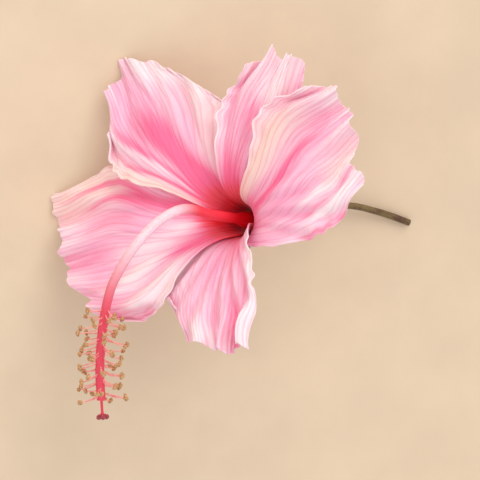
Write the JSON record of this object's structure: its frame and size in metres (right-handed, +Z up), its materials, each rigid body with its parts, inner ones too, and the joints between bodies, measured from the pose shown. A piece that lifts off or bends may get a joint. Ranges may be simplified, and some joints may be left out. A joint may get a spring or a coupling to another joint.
{
  "type": "hibiscus flower",
  "caption": "Open hibiscus flower with ruffled overlapping petals, a long drooping column of stamens, calyx, bracts and stalk, picked and lying on its petal rims.",
  "frame": {"origin": "under the middle of the whole flower, on the surface that it lies on", "axes": "+Z up from the surface; the flower faces towards -Y and up, with its stalk behind it towards +Y; the stamen column hangs towards +X"},
  "size_m": [0.1304, 0.119, 0.0862],
  "materials": {
    "petal": "satin",
    "column": "satin",
    "pistil": "satin",
    "calyx": "matte",
    "epicalyx": "matte",
    "stalk": "matte"
  },
  "bodies": {
    "root": {"petal_1": "petal", "petal_2": "petal", "petal_3": "petal", "petal_4": "petal", "petal_5": "petal", "staminal_column": "column", "pistil": "pistil", "calyx": "calyx", "epicalyx": "epicalyx", "stalk": "stalk"}
  },
  "joints": []
}
